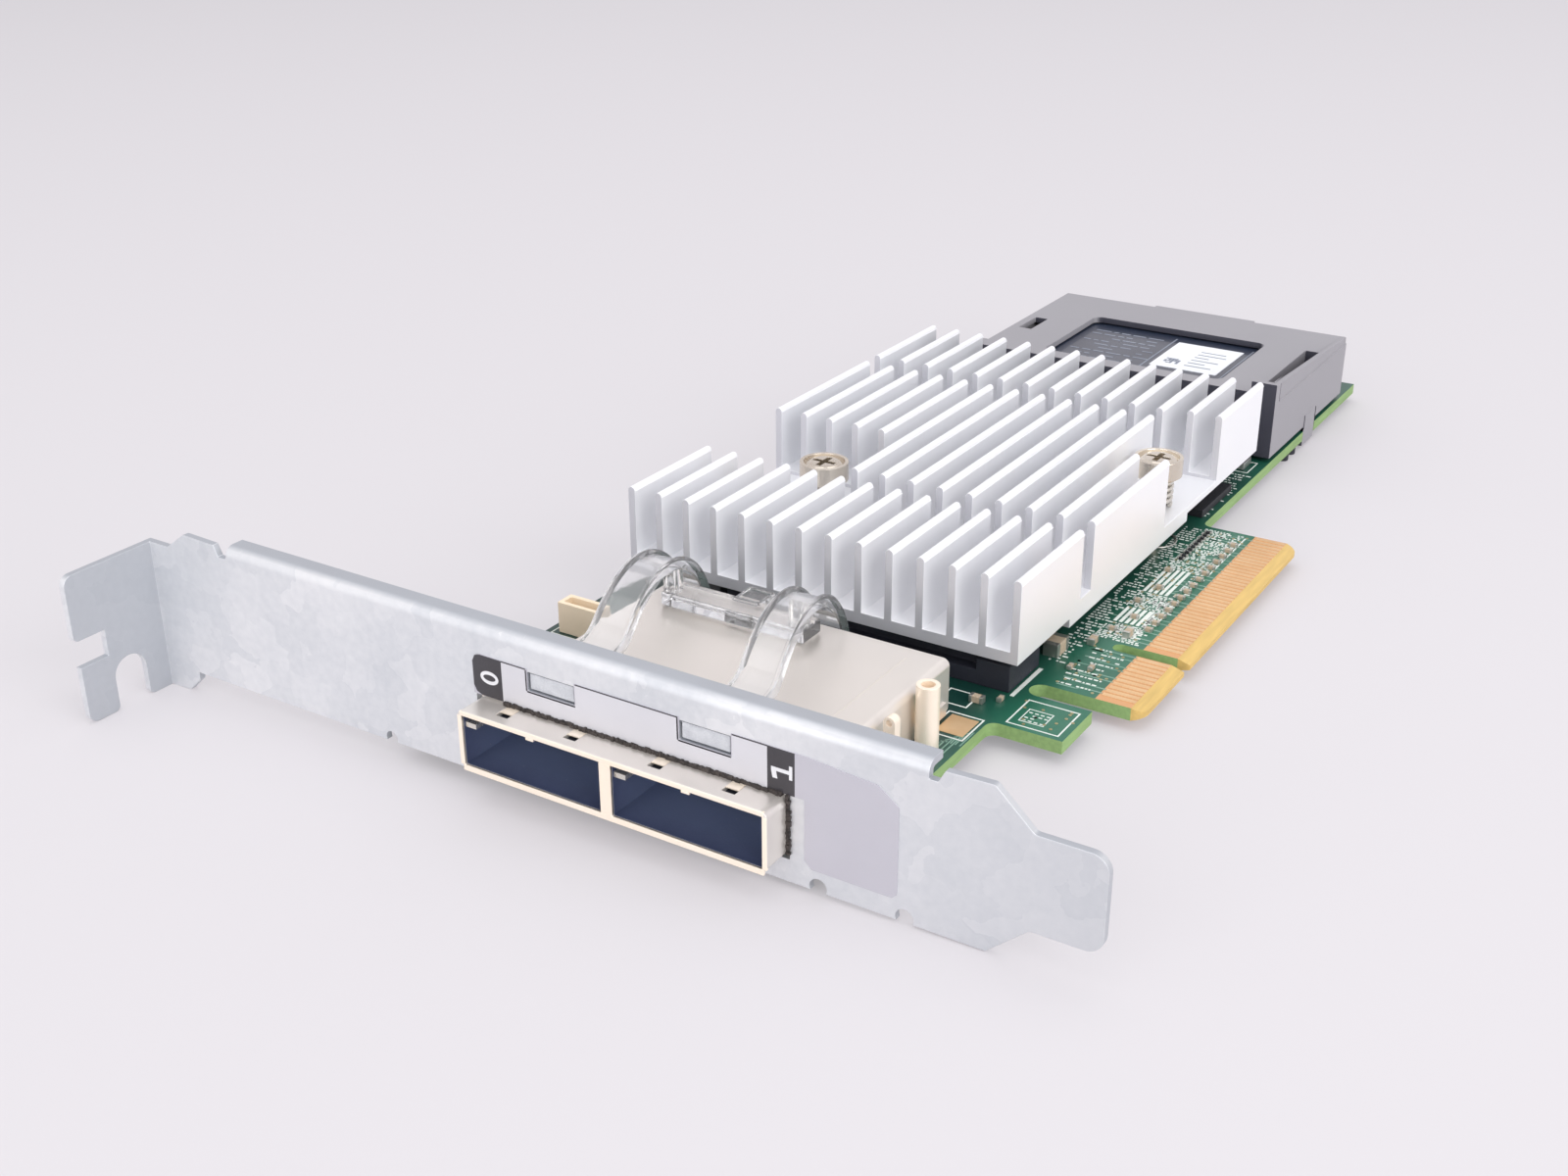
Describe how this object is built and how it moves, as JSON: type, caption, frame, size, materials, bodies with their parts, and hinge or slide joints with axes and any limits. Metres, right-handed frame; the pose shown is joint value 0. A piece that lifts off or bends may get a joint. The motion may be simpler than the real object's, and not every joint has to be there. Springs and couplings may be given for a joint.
{
  "type": "storage controller card",
  "caption": "Low storage controller board with a tall slot bracket, a caged pair of cable ports, a finned heat sink, a clear light pipe and a clip-on backup battery cover.",
  "frame": {"origin": "where the screw tab's seating plane, the bracket's outer face and the board's component face meet", "axes": "+X along the bracket from the screw tab to the tongue, +Y from the bracket's outer face into the card, +Z from the board towards its components"},
  "size_m": [0.1209, 0.1798, 0.0209],
  "materials": {
    "board_laminate": "solder-mask gloss",
    "contact_gold": "gold plated",
    "bracket_steel": "galvanised, matt with a faint spangle",
    "screw_nickel": "nickel plated",
    "label_film": "satin film with charcoal fields",
    "cage_nickel": "nickel plated, satin",
    "spring_nickel": "polished",
    "black_plastic": "moulded",
    "clear_plastic": "clear moulded",
    "lamp_white": "clear lens",
    "sink_aluminium": "natural anodised, satin",
    "chip_black": "moulded epoxy",
    "pad_grey": "soft filled silicone",
    "cream_plastic": "moulded",
    "cover_plastic": "moulded, fine grain",
    "pack_navy": "shrink film",
    "label_white": "bare",
    "capacitor_ceramic": "matt",
    "inductor_grey": "moulded",
    "crystal_steel": "satin"
  },
  "bodies": {
    "root": {"circuit_board": "board_laminate", "edge_contacts_top": "contact_gold", "edge_contacts_bottom": "contact_gold", "bracket": "bracket_steel", "bracket_screws": "screw_nickel", "bracket_nuts": "screw_nickel", "bracket_label": "label_film", "port_cage": "cage_nickel", "cage_springs": "spring_nickel", "port_insert_0": "black_plastic", "port_insert_1": "black_plastic", "port_contacts": "contact_gold", "light_pipe": "clear_plastic", "status_lamps": "lamp_white", "guide_posts": "cage_nickel", "heat_sink": "sink_aluminium", "heat_sink_screws": "screw_nickel", "heat_sink_springs": "spring_nickel", "heat_sink_nuts": "screw_nickel", "controller_chip": "chip_black", "thermal_pad": "pad_grey", "memory_chips": "chip_black", "memory_socket": "black_plastic", "board_header": "cream_plastic", "header_pins": "spring_nickel", "battery_cover": "cover_plastic", "battery_pack": "pack_navy", "battery_label": "label_white", "battery_socket": "black_plastic", "board_stubs": "black_plastic", "ceramic_capacitors": "capacitor_ceramic", "chip_resistors": "chip_black", "power_inductors": "inductor_grey", "voltage_regulators": "chip_black", "flash_chip": "chip_black", "clock_crystal": "crystal_steel", "ground_pads": "contact_gold"}
  },
  "joints": []
}
